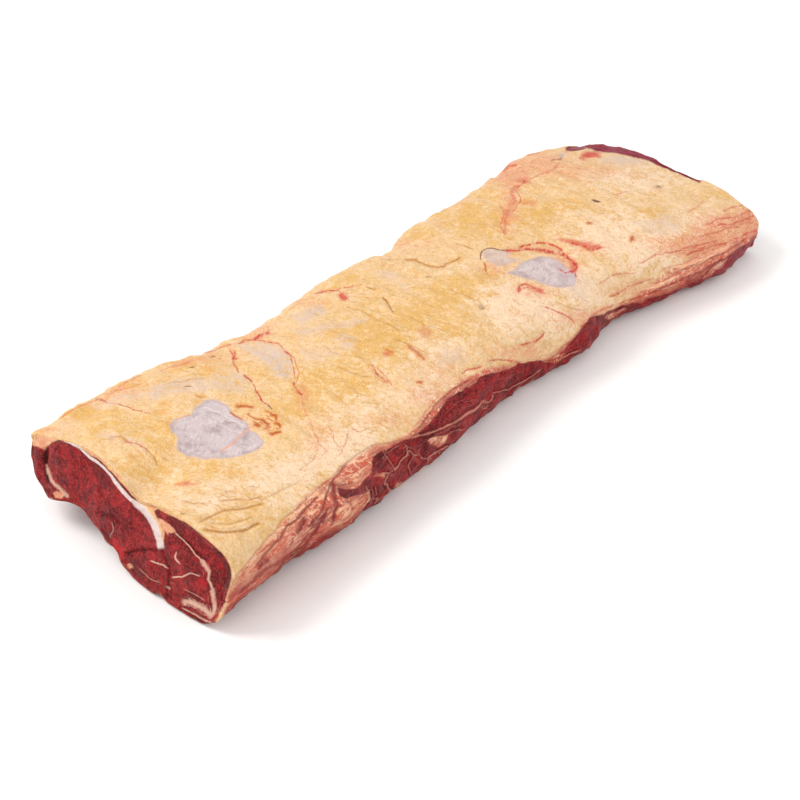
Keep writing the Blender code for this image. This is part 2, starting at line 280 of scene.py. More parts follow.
# Golden creases of the upper fat, their lines darkened in part with painted shade
CREASES = (
    (1.2, 1, 206, 530, 220, 532, 232, 532, 246, 529, 258, 525),
    (.8, .9, 200, 521, 210, 516, 220, 511, 232, 509, 246, 508, 262, 505),
    (.7, .8, 146, 450, 152, 455, 158, 464), (.7, 1, 384, 297, 388, 302, 393, 311),
    (.5, .6, 326, 346, 332, 354), (1, 1, 406, 259, 416, 260, 422, 264, 436, 267, 448, 264, 460, 258),
    (.6, .7, 456, 244, 464, 245, 472, 248), (.6, .6, 390, 259, 400, 259),
    (.6, .7, 226, 491, 232, 490, 236, 492), (.6, .6, 250, 486, 258, 487),
    (.5, .4, 330, 352, 352, 356, 372, 362), (.6, .6, 170, 384, 186, 380, 206, 378),
    (.7, .7, 112, 438, 120, 437, 128, 440), (.6, .5, 262, 500, 280, 490, 300, 482),
    (.5, .5, 556, 302, 568, 306, 578, 310), (.6, .5, 336, 366, 352, 372, 366, 376),
    (.6, .7, 214, 522, 226, 524, 238, 521, 248, 518), (.7, .7, 222, 500, 234, 499, 250, 500, 262, 496),
    (.8, .7, 184, 500, 192, 503, 204, 503), (.6, .6, 370, 318, 384, 323, 398, 331),
    (.6, .6, 348, 306, 362, 312, 372, 319), (.5, .6, 398, 340, 412, 346, 428, 354),
    (.5, .6, 412, 318, 428, 326, 440, 330), (.5, .5, 452, 290, 468, 296, 480, 303),
    (.6, .5, 300, 470, 312, 462, 318, 452),
)
# Dull red strips and folds on the flank fat, in two sets so that neighbours stay apart
STRIPS = (
    (.9, .4, 228, 590, 240, 571, 252, 556, 262, 544, 273, 532, 285, 517, 302, 503, 318, 488, 332, 477, 342,
     467, 353, 458, 365, 451, 382, 444, 404, 440), (2.2, 1, 334, 484, 335, 496, 336, 507, 333, 521),
    (1.8, 1, 328, 508, 319, 525, 308, 542, 295, 557, 278, 572, 257, 589, 236, 606),
    (2, .9, 302, 518, 300, 526, 297, 533), (1, .7, 688, 281, 694, 275, 702, 276, 699, 282, 690, 284),
    (1, .8, 652, 292, 676, 282, 700, 271, 722, 259), (.8, .6, 230, 620, 246, 606, 262, 596, 282, 584),
)
FOLDS = (
    (1.3, 1, 346, 466, 334, 480, 327, 494, 322, 510, 312, 522),
    (1.2, 1, 256, 564, 273, 545, 287, 527, 303, 511, 318, 496),
    (1.3, 1, 308, 534, 299, 546, 287, 556, 272, 566, 256, 577, 240, 592),
    (.9, .6, 346, 499, 352, 507, 350, 516, 342, 522), (.8, .7, 670, 274, 690, 267, 716, 256, 744, 242),
    (1.8, 1, 226, 622, 240, 611, 262, 592, 281, 576, 303, 556, 322, 540, 346, 530),
    (.9, .7, 318, 540, 330, 531, 344, 524), (1, .8, 418, 428, 430, 414, 440, 400, 452, 390, 468, 380),
)
# Maroon patches that show through the flank fat
MAROON = (
    (1, 256, 568, 260, 560, 268, 557, 270, 561, 263, 568, 258, 571),
    (.85, 299, 531, 297, 524, 301, 518, 306, 515, 305, 523, 302, 530),
    (.9, 308, 527, 312, 519, 320, 512, 327, 512, 329, 520, 322, 526, 314, 530),
    (1, 320, 543, 326, 535, 336, 531, 346, 530, 345, 534, 334, 541, 324, 545),
    (.8, 686, 281, 694, 276, 704, 275, 700, 283, 690, 286),
    (.6, 282, 566, 290, 556, 300, 550, 298, 556, 288, 566),
)
# Where the flank side begins, below the shoulder of the fat
FLANK_SIDE = (
    (1, 222, 622, 226, 600, 230, 588, 242, 568, 258, 548, 277, 528, 297, 505, 314, 489, 330, 477, 352, 460,
     377, 446, 402, 438, 416, 425, 430, 408, 441, 396, 462, 378, 486, 368, 504, 364, 519, 364, 545, 358, 563,
     344, 581, 329, 596, 318, 612, 310, 632, 299, 650, 284, 668, 270, 690, 259, 712, 250, 738, 240, 764, 228,
     800, 240, 800, 720, 222, 720),
)
# Where the open muscle shows on the flank and at the far end, and under the near face
OPEN_LEAN = (
    (1, 353, 523, 363, 510, 368, 498, 364, 489, 364, 484, 370, 472, 373, 457, 382, 451, 403, 441, 413, 437,
     427, 426, 440, 411, 448, 399, 464, 389, 480, 378, 500, 371, 520, 363, 540, 360, 546, 364, 562, 350, 578,
     334, 590, 317, 602, 314, 622, 305, 640, 303, 650, 297, 670, 293, 680, 289, 700, 279, 710, 267, 726, 257,
     750, 243, 764, 232, 800, 262, 700, 330, 560, 420, 440, 520, 360, 560, 340, 540),
    (1, 338, 487, 346, 489, 356, 489, 363, 484, 370, 474, 370, 486, 362, 494, 348, 498, 340, 495),
    (1, 566, 150, 570, 130, 620, 130, 660, 146, 690, 162, 704, 176, 700, 183, 690, 178, 680, 173, 662, 166,
     646, 160, 626, 155, 598, 152, 586, 148, 578, 151),
    (1, 28, 456, 60, 462, 110, 500, 150, 545, 200, 580, 218, 604, 217, 620, 205, 640, 90, 600, 15, 530, 15,
     452),
)
# Pale seams on the flank's lean, and fat between them
FLANK_SEAMS = (
    (.99, 1, 414, 437, 430, 433, 445, 428, 458, 421, 470, 412, 485, 402),
    (.59, 1, 407, 446, 412, 453, 420, 457, 427, 459, 437, 451, 448, 446),
    (.59, 1, 427, 459, 428, 467, 423, 474, 415, 482, 404, 490),
    (.73, 1, 373, 476, 384, 474, 395, 469, 401, 462, 407, 455, 408, 447),
    (.73, 1, 388, 476, 386, 484, 390, 490, 400, 492), (.46, .8, 412, 457, 410, 468, 413, 478),
    (.66, .9, 366, 487, 369, 497, 364, 508, 354, 520), (.53, 1, 375, 489, 377, 498, 373, 508),
    (.4, 1, 486, 404, 491, 400, 493, 396), (.33, .8, 483, 409, 488, 407),
    (.46, 1, 494, 392, 508, 389, 518, 385, 530, 377, 541, 370),
    (.66, 1, 544, 362, 554, 362, 566, 356, 579, 351), (1.19, 1, 611, 315, 618, 312, 626, 308),
    (.33, .8, 440, 440, 452, 433, 463, 428), (.33, .6, 560, 346, 566, 340, 571, 333),
    (.33, .6, 462, 403, 468, 401, 474, 400), (.4, .7, 400, 446, 392, 450, 384, 457),
    (.4, .7, 726, 270, 738, 261, 752, 250), (.26, .6, 448, 412, 456, 405, 464, 399),
    (.26, .5, 500, 380, 510, 376, 520, 372), (.53, .9, 384, 452, 390, 460, 395, 469),
    (.46, .8, 372, 498, 382, 497, 390, 491), (.46, .8, 404, 490, 402, 498, 394, 506),
    (.4, .8, 437, 451, 442, 460, 436, 468), (.33, .7, 420, 446, 418, 452, 420, 457),
)
FLANK_FAT_BITS = (
    (1, 427, 440, 438, 437, 449, 436, 446, 442, 438, 447, 430, 444),
    (1, 544, 362, 556, 354, 566, 353, 563, 359, 552, 364),
    (1, 341, 500, 352, 500, 362, 494, 368, 490, 369, 500, 362, 512, 352, 522, 341, 524, 339, 512),
    (1, 373, 473, 384, 474, 386, 478, 376, 477), (1, 393, 489, 397, 483, 404, 482, 400, 488),
    (.8, 604, 318, 612, 312, 622, 309, 618, 315, 608, 320),
    (.7, 698, 279, 712, 268, 728, 257, 722, 266, 706, 279),
)
# The near cut face: where it shows muscle, then silverskin, seams, fat, clefts darkened with painted shade,
# and raw spots
FACE_MUSCLE = (
    (1, 46, 448, 52, 442, 62, 438, 70, 442, 84, 450, 100, 461, 114, 475, 128, 490, 138, 502, 147, 513, 155,
     527, 158, 538, 160, 548, 164, 540, 164, 530, 157, 520, 154, 512, 158, 509, 170, 515, 187, 523, 202, 533,
     214, 541, 226, 549, 235, 560, 238, 574, 233, 590, 225, 602, 219, 614, 214, 622, 196, 640, 100, 600, 60,
     520, 40, 512, 28, 500, 26, 450, 34, 444),
)
SILVERSKIN = (
    (1.3, 1, 66, 441, 76, 446, 87, 454, 97, 463, 105, 470, 113, 479),
    (1.9, 1, 112, 478, 120, 488, 129, 498, 138, 504),
    (2.9, 1, 136, 503, 144, 510, 150, 518, 155, 527, 159, 537, 161, 544), (3.4, 1, 160, 541, 161, 547),
)
CUT_SEAMS = (
    (.6, 1, 176, 533, 181, 538, 187, 545, 194, 552, 200, 558), (2.1, 1, 201, 560, 205, 565, 209, 572),
    (1.1, 1, 209, 573, 208, 580, 211, 588), (1.7, 1, 212, 590, 214, 599, 215, 608, 213, 614),
    (.7, 1, 152, 562, 158, 564, 163, 565, 167, 568), (.7, .9, 176, 553, 175, 558, 179, 563),
    (.7, 1, 173, 578, 182, 577, 190, 573, 198, 575), (1.2, 1, 167, 587, 169, 588),
    (.4, .7, 112, 524, 113, 531, 110, 537), (2.8, 1, 183, 603, 190, 602, 200, 606, 208, 612, 212, 616),
    (.8, .9, 183, 609, 193, 614, 204, 620, 213, 624), (1.6, .9, 47, 466, 49, 475, 54, 484, 61, 490, 67, 496),
    (1.6, .9, 237, 562, 239, 575, 234, 588, 226, 602, 220, 614), (.7, .9, 158, 520, 163, 526, 167, 533),
    (.4, .5, 186, 590, 194, 594, 204, 600), (.4, .5, 140, 570, 150, 578, 158, 582),
)
CUT_FAT_BITS = (
    (1, 157, 518, 163, 520, 170, 525, 176, 531, 170, 533, 164, 531),
    (1, 53, 493, 58, 491, 64, 495, 62, 499, 55, 498), (.8, 127, 564, 131, 563, 133, 568, 129, 570),
    (1, 32, 446, 38, 438, 52, 434, 60, 436, 52, 441, 47, 446, 46, 450, 38, 446),
)
CUT_CLEFT_SHADE = (
    (1.5, 1, 47, 449, 46, 460, 46, 472, 48, 482), (1, .7, 127, 553, 137, 551, 147, 550, 156, 552),
    (.8, .6, 166, 597, 167, 588, 169, 576, 167, 564, 163, 552),
    (1, .5, 97, 513, 104, 514, 112, 517, 120, 524), (2.6, .6, 220, 552, 228, 564, 229, 578),
    (1, .7, 180, 537, 190, 546, 198, 553, 207, 560), (1.2, .6, 182, 610, 192, 616, 202, 622),
    (1.3, .6, 36, 486, 42, 490, 50, 492),
)
RAW_SPOTS = (
    (1, 108, 541, 113, 538, 119, 543, 127, 551, 126, 557, 118, 553, 111, 549),
    (.5, 194, 574, 204, 576, 206, 588, 198, 586), (.4, 216, 556, 224, 560, 226, 572, 219, 568),
    (.5, 212, 622, 218, 612, 224, 606, 220, 618),
)
# Soft tints of the fat, the far lean and the flank. Each patch: place x, y, reach both ways, strength
GOLDEN = (
    (355, 384, 26, 18, .8), (345, 330, 40, 24, .6), (430, 310, 40, 26, .5), (215, 372, 50, 14, .5),
    (110, 425, 40, 16, .6), (480, 215, 40, 24, .8), (555, 205, 50, 16, .5), (470, 285, 44, 18, .6),
    (290, 408, 30, 24, .6), (240, 525, 40, 12, .4), (385, 340, 34, 22, .7), (350, 282, 26, 8, .8),
    (415, 232, 30, 8, .7), (165, 440, 14, 24, .6), (655, 208, 16, 8, .7), (720, 196, 20, 8, .5),
    (200, 468, 40, 8, .5), (300, 375, 30, 14, .6), (470, 330, 20, 12, .4), (130, 470, 30, 16, .3),
    (44, 436, 16, 9, .7), (78, 412, 34, 9, .8), (125, 386, 36, 8, .8), (175, 362, 36, 7, .7),
    (225, 338, 30, 7, .7),
)
PALE = (
    (285, 478, 44, 20, .8), (350, 440, 34, 16, .9), (430, 350, 40, 24, .4), (535, 312, 44, 24, 1),
    (650, 250, 60, 26, .9), (640, 180, 50, 14, .8), (600, 225, 40, 16, .6), (205, 500, 40, 14, .7),
    (505, 300, 26, 14, .8), (450, 265, 20, 10, .3), (370, 405, 40, 20, .5), (700, 215, 26, 12, .5),
    (330, 460, 40, 12, .6), (590, 290, 24, 20, .7), (430, 390, 30, 16, .6),
)
PEACH = (
    (50, 432, 26, 12, .5), (118, 392, 34, 10, .6), (190, 360, 40, 9, .6), (250, 330, 30, 8, .8),
    (300, 302, 30, 6, .6), (400, 244, 40, 8, .5), (500, 172, 34, 12, 1), (545, 160, 30, 10, .7),
    (728, 226, 36, 14, 1.3), (752, 222, 14, 16, 1.2), (692, 244, 40, 9, 1.1), (428, 398, 22, 12, .7),
    (390, 420, 26, 8, .6), (585, 318, 36, 10, .8), (520, 352, 30, 8, .7), (590, 172, 44, 10, .6),
    (505, 215, 10, 20, .5), (440, 372, 30, 18, .4), (320, 440, 12, 22, .4), (455, 200, 14, 8, .5),
    (640, 290, 34, 8, .7), (566, 262, 18, 14, .8), (496, 268, 20, 10, .6), (534, 292, 22, 7, .7),
    (512, 200, 9, 30, .6), (598, 247, 18, 8, .5), (745, 238, 26, 12, .6), (700, 255, 40, 8, .5),
    (302, 400, 8, 18, .5),
)
PURPLE = (
    (600, 143, 46, 14, 1), (640, 152, 34, 14, 1), (680, 168, 30, 14, .9), (740, 262, 30, 16, .4),
)
# Darker red patches at the foot of the flank beside the near face: painted shade near the floor, with redder
# flesh
FOOT_SHADE_PATCHES = (
    (246, 598, 24, 16, 1.4), (300, 558, 40, 14, 1), (335, 538, 30, 10, .9), (232, 614, 14, 12, 1),
    (272, 575, 26, 9, .7),
)
SIDE_TINTS = (("dusk", FOOT_SHADE_PATCHES), ("golden", GOLDEN), ("pale", PALE), ("peach", PEACH), ("purple", PURPLE))
SIDE_LINES = (("vein", VEINS), ("stain", STAINS), ("fleck", FLECKS), ("crease", CREASES),
              ("strip", STRIPS), ("fold", FOLDS), ("gleam", GLEAMS), ("thread", THREADS),
              ("seam", FLANK_SEAMS), ("tear", TEARS))
SIDE_AREAS = (("membrane", MEMBRANES), ("blood", BLOOD), ("flank", FLANK_SIDE), ("maroon", MAROON),
              ("lean", OPEN_LEAN), ("fatbit", FLANK_FAT_BITS), ("haze", HAZES))
FACE_LINES = (("silver", SILVERSKIN), ("cut", CUT_SEAMS), ("cleft", CUT_CLEFT_SHADE))
FACE_AREAS = (("muscle", FACE_MUSCLE), ("facefat", CUT_FAT_BITS), ("raw", RAW_SPOTS))


def colour(red, green, blue):
    """Colour of the shader from the 0 to 255 values that a picture shows."""
    shown = np.array((red, green, blue)) / 255
    return tuple(np.where(shown <= .04045, shown / 12.92, ((shown + .055) / 1.055) ** 2.4).tolist())


FAT_CREAM = colour(226, 190, 142)
FAT_GOLD = colour(216, 170, 92)
FAT_PALE = colour(238, 210, 180)
FAT_PEACH = colour(222, 152, 116)
FAT_PINK = colour(204, 96, 72)
# Painted shade for the hollows of the fat's bump
FAT_HOLLOW_SHADE = colour(192, 138, 82)
# Painted highlight specks on the fat
FAT_HIGHLIGHT_SPECK = colour(240, 216, 180)
FACE_FAT = colour(232, 190, 124)
FLANK_CREAM = colour(236, 174, 136)
FLANK_PALE = colour(244, 206, 174)
FLANK_FLESH = colour(200, 94, 70)
FLANK_RED = colour(158, 44, 36)
MAROON_RED = colour(118, 22, 32)
HAZE = colour(204, 180, 166)
MEMBRANE = colour(196, 180, 182)
MEMBRANE_PALE = colour(222, 212, 212)
MEMBRANE_DARK = colour(168, 146, 150)
# Golden crease colour, partly painted shade in the creases
CREASE_GOLD_AND_SHADE = colour(180, 118, 48)
VEIN = colour(186, 56, 46)
BLOOD_RED = colour(194, 32, 28)
STAIN = colour(178, 76, 6)
STAIN_PALE = colour(222, 144, 44)
DARK_FLECK = colour(84, 38, 34)
STRIP_RED = colour(132, 34, 34)
LEAN = colour(148, 18, 23)
LEAN_LIGHT = colour(180, 44, 46)
# Painted highlight specks of the wet lean
LEAN_GLINT = colour(214, 112, 106)
LEAN_DARK = colour(80, 5, 8)
LEAN_DEEP = colour(70, 5, 10)
# Near-black: dark specks in the lean's grain, and painted shade down the clefts of the cut face
LEAN_BLACK = colour(50, 6, 10)
LEAN_PURPLE = colour(146, 28, 58)
SEAM = colour(230, 186, 162)
SEAM_PINK = colour(220, 140, 122)
SILVER = colour(224, 206, 200)
RAW_RED = colour(190, 14, 18)
FLOOR_PALE = colour(246, 245, 244)
FLOOR_WHITE = colour(249, 248, 247)

# Noises of the finish: size of the lumps in metres, detail, roughness, stretch, turn, twist
NOISES = {
    "broad": (.032, 4, .55),
    "cloud": (.012, 5, .6, PLAIN, 0, .7),
    "fibre": (.0045, 5, .68, (2.4, .8, 1), .6, .9),
    "cross": (.0060, 5, .66, (.8, 1.5, 1), .5, 2.0),
    "fine": (.0017, 4, .65),
    "speck": (.0012, 2, .5),
    "stroke": (.0085, 5, .60, (.8, 1.7, 1), .35, 2.2),
    "scribble": (.0075, 5, .65, PLAIN, 0, 1.6),
    "wrinkle": (.011, 4, .6, (.6, 1.8, 1), .2, 1.2),
    "strand": (.0080, 5, .58, (6, 1, 1), -.10, 1.3),
    "layer": (.0150, 4, .6, (3.4, 1, 1), .05, 1.2),
    "grain": (.0028, 5, .72, (1, .38, 2.2), 0, .8),
    "shadow": (.018, 4, .6),
    "marble": (.020, 3, .55, PLAIN, 0, 1.1),
    "patch": (.030, 5, .62, PLAIN, 0, .7),
}
# Thin layers laid where a noise passes from the first value to the second: noise, values, strength, colour
# On the fat, the two shade layers are painted shade: they lie where the fine and cross noises that also
# raise the bump are low, in its hollows. The pale speck layer is painted highlights, and the peach specks
# are the fat's own tone.
FAT_GRAIN_SHADE_AND_HIGHLIGHTS = (("fine", .50, .38, .30, FAT_HOLLOW_SHADE), ("cross", .46, .36, .40, FAT_HOLLOW_SHADE),
             ("speck", .54, .66, .34, FAT_HIGHLIGHT_SPECK), ("speck", .36, .30, .28, FAT_PEACH))
# On the lean, the pale speck layer is painted highlights of wet meat.
LEAN_GRAIN_AND_GLINTS = (("fine", .50, .60, .55, LEAN_LIGHT), ("cloud", .46, .60, .40, LEAN_LIGHT),
              ("shadow", .50, .38, .60, LEAN_DEEP), ("speck", .57, .68, .28, LEAN_GLINT),
              ("speck", .42, .34, .45, LEAN_BLACK))
BUMP_HEIGHT = .0013
BUMPS = (("fibre", .6), ("cross", .6), ("fine", .35))
FAT_GLOSS, FAT_GLOW = .30, .08
LEAN_GLOSS, LEAN_GLOW = .14, .0
GLOW_COLOURS = (1, .4, .25)
GLOW_DEPTH = .002


def curve(table, place):
    """Value of a table of (place, value) pairs at a place, along a smooth curve through the pairs."""
    places = np.array([pair[0] for pair in table], float)
    values = np.array([pair[1] for pair in table], float)
    slopes = np.gradient(values, places)
    place = np.clip(place, places[0], places[-1])
    index = np.clip(np.searchsorted(places, place, side="right") - 1, 0, len(places) - 2)
    step = places[index + 1] - places[index]
    u = (place - places[index]) / step
    start = (2 * u ** 3 - 3 * u ** 2 + 1) * values[index] + (u ** 3 - 2 * u ** 2 + u) * step * slopes[index]
    end = (3 * u ** 2 - 2 * u ** 3) * values[index + 1] + (u ** 3 - u ** 2) * step * slopes[index + 1]
    return start + end


def swell(first, second, places):
    """Sum of soft round swellings, each (first, second, first reach, second reach, height)."""
    total = np.zeros_like(first + second)
    for first_place, second_place, first_reach, second_reach, height in places:
        total = total + height * np.exp(-((first - first_place) / first_reach) ** 2
                                        - ((second - second_place) / second_reach) ** 2)
    return total


def smooth_step(low, high, value):
    share = np.clip((value - low) / (high - low), 0, 1)
    return share * share * (3 - 2 * share)


def mixed(first, second, share):
    return first + (second - first) * share


def near_face(y, z):
    return curve(NEAR_FACE, y) + FACE_LEAN * z - swell(y, z, CUT_RELIEF)


def section(share, angle):
    """Outer outline (y, z) of one section. Angle 0 is the chine side, a quarter turn is the crown."""
    chine = curve(CHINE_EDGE, share)
    flank = curve(FLANK_EDGE, share)
    middle = (chine + flank) / 2
    half = (chine - flank) / 2
    across = np.cos(angle)
    up = np.sin(angle)
    side_power = np.where(across > 0, CHINE_POWER, FLANK_POWER)
    foot_power = np.where(across > 0, CHINE_FOOT_POWER, FLANK_FOOT_POWER)
    rise_power = np.where(up > 0, side_power, foot_power)
    side_power = np.where((up < 0) & (across < 0), FLANK_FOOT_POWER, side_power)
    y = middle + half * np.sign(across) * np.abs(across) ** (2 / side_power)
    rise = np.where(up > 0, 1 - WAIST, WAIST + SINK)
    level = np.maximum(WAIST + rise * np.sign(up) * np.abs(up) ** (2 / rise_power), 0)
    outward = np.clip((middle - y) / half, 0, 1)
    y = y + curve(FOOT_TUCK, share) * (1 - level) ** TUCK_POWER * outward ** 2
    near = curve(NEAR_FACE, y) + FACE_LEAN * MIDDLE_HEIGHT
    x = near + share * (curve(FAR_FACE, y) - near)
    nearness = max(1 - share / ARCH_REACH, 0)
    arch = nearness ** 2 * (3 - 2 * nearness) * np.maximum(curve(NEAR_ARCH, y), 0)
    crown = curve(CROWN, share) + swell(x, y, RELIEF)
    z = arch + level * (crown - arch)
    y = y - outward ** SIDE_POWER * swell(x, z, MUSCLES)
    return y, z


def rim_angle(share, height, chine_side):
    """Angle at which the outline passes a height, on the chine or the flank side."""
    low = -np.pi / 2 if chine_side else 3 * np.pi / 2
    angles = np.linspace(low, np.pi / 2, 8 * ACROSS)
    heights = section(share, angles)[1]
    passed = int(np.argmax(heights > height))
    part = (height - heights[passed - 1]) / (heights[passed] - heights[passed - 1])
    return angles[passed - 1] + part * (angles[passed] - angles[passed - 1])


def even_arc(share, first, last):
    """Part of a section between two angles, as points spaced evenly from the chine to the flank."""
    y, z = section(share, np.linspace(first, last, 4 * ACROSS))
    run = np.concatenate([[0], np.cumsum(np.hypot(np.diff(y), np.diff(z)))])
    places = np.linspace(0, run[-1], ACROSS)
    return np.stack([np.interp(places, run, y), np.interp(places, run, z)], axis=-1)


def shrink(arc, rim_line, depth, rim_depth):
    """Arc drawn inwards: by one depth at its crown and by another at its two upright ends."""
    y, z = arc[:, 0], arc[:, 1]
    middle = (y[0] + y[-1]) / 2
    half = (y[0] - y[-1]) / 2
    height = np.max(z - rim_line)
    return np.stack([middle + (y - middle) * (1 - rim_depth / half),
                     rim_line + (z - rim_line) * (1 - depth / height)], axis=-1)


def end_shares():
    """Shares of the length, even but for a few close rows that round the two cut edges."""
    close = EDGE_ROUND / LENGTH * (1 - np.cos(np.linspace(0, np.pi / 2, ROUND_ROWS)))
    return np.concatenate([close, np.linspace(0, 1, ALONG)[1:-1], 1 - close[::-1]])


def rounded(rows, shares):
    """Draws the first and last rows in towards the middle of the section, which rounds the two cut edges."""
    from_end = np.minimum(shares, 1 - shares) * LENGTH
    short = np.maximum(EDGE_ROUND - from_end, 0)
    drop = EDGE_ROUND - np.sqrt(EDGE_ROUND ** 2 - short ** 2)
    away = rows - rows.mean(axis=1, keepdims=True)
    away /= np.linalg.norm(away, axis=-1, keepdims=True)
    return rows - drop[:, None, None] * away


def loin_arcs(shares):
    """Arcs (y, z) at every share: fat outside, fat inside, the lean under the fat, and the open lean."""
    fat, inside, bed, open_side = [], [], [], []
    steps = np.linspace(0, 1, ACROSS)
    for share in shares:
        chine_height = curve(CHINE_RIM, share)
        flank_height = curve(FLANK_RIM, share)
        outer = even_arc(share, rim_angle(share, chine_height, True), rim_angle(share, flank_height, False))
        rim_line = mixed(chine_height, flank_height, steps)
        depth = curve(FAT_DEPTH, share)
        rim_depth = mixed(CHINE_RIM_DEPTH, FLANK_RIM_DEPTH, steps)
        fat.append(outer)
        inside.append(shrink(outer, rim_line, depth, rim_depth))
        bed.append(shrink(outer, rim_line, depth + BED_GAP, rim_depth + BED_GAP) - (0, BED_GAP))
        open_side.append(even_arc(share, 2 * np.pi + rim_angle(share, chine_height - BED_GAP, True),
                                  rim_angle(share, flank_height - BED_GAP, False)))
    return [rounded(np.array(rows), shares) for rows in (fat, inside, bed, open_side)]


def on_loin(rows, shares):
    """Points (x, y, z) of rows of (y, z), each at its own share of the length."""
    y, z = rows[..., 0], rows[..., 1]
    near = near_face(y, z)
    x = near + shares[:, None] * (curve(FAR_FACE, y) - near)
    return np.stack([x, y, z], axis=-1)


def grid_normals(grid):
    """Unit normals of a grid of points, pointing away from the middle of the loin."""
    normals = np.cross(np.gradient(grid, axis=0), np.gradient(grid, axis=1))
    normals /= np.maximum(np.linalg.norm(normals, axis=-1, keepdims=True), 1e-12)
    outward = np.sum(normals * (grid - np.array(LOIN_MIDDLE)) * (0, 1, 1), axis=-1)
    return normals * np.where(np.median(outward, axis=1) < 0, -1, 1)[:, None, None]


def camera_axes():
    """Right, up and backward directions of the photograph's camera."""
    back = np.array([np.sin(CAMERA_AZIMUTH) * np.cos(CAMERA_ELEVATION),
                     -np.cos(CAMERA_AZIMUTH) * np.cos(CAMERA_ELEVATION), np.sin(CAMERA_ELEVATION)])
    right = np.array([np.cos(CAMERA_AZIMUTH), np.sin(CAMERA_AZIMUTH), 0])
    return right, np.cross(back, right), back


def picture_places(points):
    """Pixel of every point in the photograph's frame."""
    right, up, back = camera_axes()
    away = points - CAMERA_AIM
    depth = CAMERA_DISTANCE - away @ back
    return PICTURE_PX / 2 + FOCAL_PX * np.stack([away @ right / depth, -(away @ up) / depth], axis=-1)


def lattice_noise(points, size, seed):
    """Smooth noise between -1 and 1 at points, with lumps of about a given size."""
    lattice = np.random.default_rng(seed).uniform(-1, 1, (NOISE_CELLS,) * 3)
    places = points / size + NOISE_START
    cell = np.floor(places).astype(int)
    part = places - cell
    part = part ** 3 * (part * (part * 6 - 15) + 10)
    total = np.zeros(points.shape[:-1])
    for corner in np.ndindex(2, 2, 2):
        index = (cell + corner) % NOISE_CELLS
        weight = np.prod(np.where(corner, part, 1 - part), axis=-1)
        total += weight * lattice[index[..., 0], index[..., 1], index[..., 2]]
    return total


def lumps(points, table):
    """Sum of noises, each (stretch, size of the lumps, height, seed)."""
    return sum(height * lattice_noise(points * stretch, size, seed) for stretch, size, height, seed in table)


def smoothed(places):
    """A smooth line through a few places, as short straight steps."""
    if len(places) == 2:
        return places
    numbers = np.arange(len(places))
    steps = np.linspace(0, len(places) - 1, 4 * (len(places) - 1) + 1)
    return np.stack([curve(tuple(zip(numbers, places[:, axis])), steps) for axis in (0, 1)], axis=-1)


def warped(pixels, points, sway):
    """Pixels moved about a little, so that no mark is ruled straight."""
    for size, reach, seeds in SWAYS:
        away = np.stack([lattice_noise(points, size, seed) for seed in seeds], axis=-1)
        pixels = pixels + sway * reach * away
    return pixels


def line_field(pixels, lines):
    """Side offset from the nearest line, in half widths, and that line's strength where it is near."""
    nearest = np.full(len(pixels), np.inf)
    offset = np.full(len(pixels), FAR_AWAY)
    strength = np.zeros(len(pixels))
    for half_width, power, *places in lines:
        places = smoothed(np.reshape(places, (-1, 2)).astype(float))
        low, high = places.min(axis=0) - LINE_REACH, places.max(axis=0) + LINE_REACH
        index = np.flatnonzero(((pixels > low) & (pixels < high)).all(axis=1))
        last = len(places) - 2
        for number, (start, end) in enumerate(zip(places, places[1:])):
            along = end - start
            length = np.linalg.norm(along)
            away = pixels[index] - start
            run = away @ along / length
            side = (along[0] * away[:, 1] - along[1] * away[:, 0]) / length
            before = np.maximum(-run, 0)
            after = np.maximum(run - length, 0)
            distance = np.hypot(side, before + after)
            overshoot = before * (number == 0) + after * (number == last)
            closer = distance < nearest[index]
            chosen = index[closer]
            nearest[chosen] = distance[closer]
            offset[chosen] = np.where(side[closer] < 0, -1, 1) * np.hypot(
                side[closer], (before + after - overshoot)[closer]) / half_width
            near = smooth_step(LINE_REACH, LINE_REACH / 2, distance[closer])
            strength[chosen] = power * near * smooth_step(LINE_END, 0, overshoot[closer])
    return offset, strength


def area_field(pixels, areas):
    """Distance in pixels inside (above 0) or outside (below 0) the nearest outline, and its strength."""
    field = np.full(len(pixels), -FAR_AWAY)
    strength = np.zeros(len(pixels))
    for power, *outline in areas:
        outline = np.reshape(outline, (-1, 2)).astype(float)
        distance = np.full(len(pixels), np.inf)
        inside = np.zeros(len(pixels), bool)
        for start, end in zip(outline, np.roll(outline, -1, axis=0)):
            along = end - start
            away = pixels - start
            part = np.clip(away @ along / (along @ along), 0, 1)
            distance = np.minimum(distance, np.linalg.norm(away - part[:, None] * along, axis=1))
            crosses = (start[1] > pixels[:, 1]) != (end[1] > pixels[:, 1])
            rise = end[1] - start[1] if end[1] != start[1] else 1e-9
            inside ^= crosses & (pixels[:, 0] < along[0] * away[:, 1] / rise + start[0])
        signed = np.where(inside, distance, -distance)
        chosen = signed > field
        field[chosen] = signed[chosen]
        strength[chosen] = power
    return field, strength


def cover(pixels, places):
    """Sum of soft round patches, each (pixel, reach, strength), cut off at 1."""
    return np.clip(swell(pixels[:, 0], pixels[:, 1], places), -1, 1)


def mark_fields(pixels, lines, areas, share):
    """Fields of groups of lines and areas, with their strength cut down to a share."""
    marks = {}
    for name, group in lines:
        marks[name + "_offset"], strength = line_field(pixels, group)
        marks[name + "_strength"] = strength * share
    for name, group in areas:
        marks[name + "_inside"], strength = area_field(pixels, group)
        marks[name + "_strength"] = strength * share
    return marks


